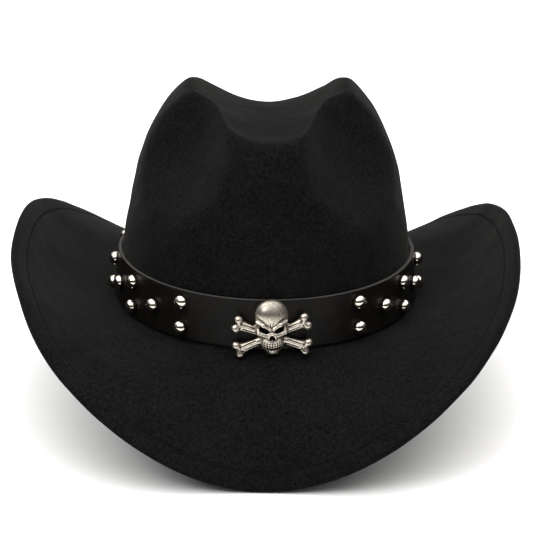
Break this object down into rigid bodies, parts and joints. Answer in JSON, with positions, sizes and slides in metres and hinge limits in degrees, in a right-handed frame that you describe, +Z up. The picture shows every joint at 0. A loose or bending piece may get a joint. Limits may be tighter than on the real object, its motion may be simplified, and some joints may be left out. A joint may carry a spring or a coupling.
{
  "type": "pirate hat",
  "caption": "Black felt western-shaped hat with a creased crown, rolled brim and a lift-off studded leather band bearing a skull-and-crossbones concho.",
  "frame": {"origin": "centre of the oval that the brim covers, on the surface that the front and back edges of the brim stand on", "axes": "+Z up; -Y is the hat's front, where the concho is; +X is the wearer's left"},
  "size_m": [0.2926, 0.3246, 0.1839],
  "materials": {
    "black_felt": "matte wool felt with a short nap",
    "wire_steel": "plain drawn wire",
    "black_thread": "matte polyester thread",
    "sweatband_leather": "soft matte leather",
    "reed_plastic": "matte",
    "bow_ribbon": "ribbed ribbon",
    "band_leather": "semi-gloss fine-grained leather with a pale raw edge",
    "nickel": "polished nickel plate",
    "antique_silver": "antique silver plate, dark in its recesses",
    "backing_steel": "plain plated steel"
  },
  "bodies": {
    "hat": {"felt_body": "black_felt", "brim_wire": "wire_steel", "brim_stitching": "black_thread", "sweatband": "sweatband_leather", "sweatband_reed": "reed_plastic", "sweatband_bow": "bow_ribbon"},
    "band": {"hat_band": "band_leather", "band_closure_tab": "band_leather", "closure_rivets": "nickel", "closure_rivet_backs": "backing_steel", "stud_backs_left": "backing_steel", "stud_backs_right": "backing_steel", "skull_concho": "antique_silver", "concho_screw": "backing_steel", "stud_right_1_upper": "nickel", "stud_right_1_lower": "nickel", "stud_right_2": "nickel", "stud_right_3_upper": "nickel", "stud_right_3_lower": "nickel", "stud_right_4": "nickel", "stud_right_5_upper": "nickel", "stud_right_5_lower": "nickel", "stud_right_6": "nickel", "stud_right_7_upper": "nickel", "stud_right_7_lower": "nickel", "stud_right_8": "nickel", "stud_right_9_upper": "nickel", "stud_right_9_lower": "nickel", "stud_left_1_upper": "nickel", "stud_left_1_lower": "nickel", "stud_left_2": "nickel", "stud_left_3_upper": "nickel", "stud_left_3_lower": "nickel", "stud_left_4": "nickel", "stud_left_5_upper": "nickel", "stud_left_5_lower": "nickel", "stud_left_6": "nickel", "stud_left_7_upper": "nickel", "stud_left_7_lower": "nickel", "stud_left_8": "nickel", "stud_left_9_upper": "nickel", "stud_left_9_lower": "nickel"}
  },
  "joints": [
    {"name": "band_lift", "type": "slide", "parent": "hat", "child": "band", "axis": [0, 0, 1], "range_m": [0, 0.14]}
  ]
}
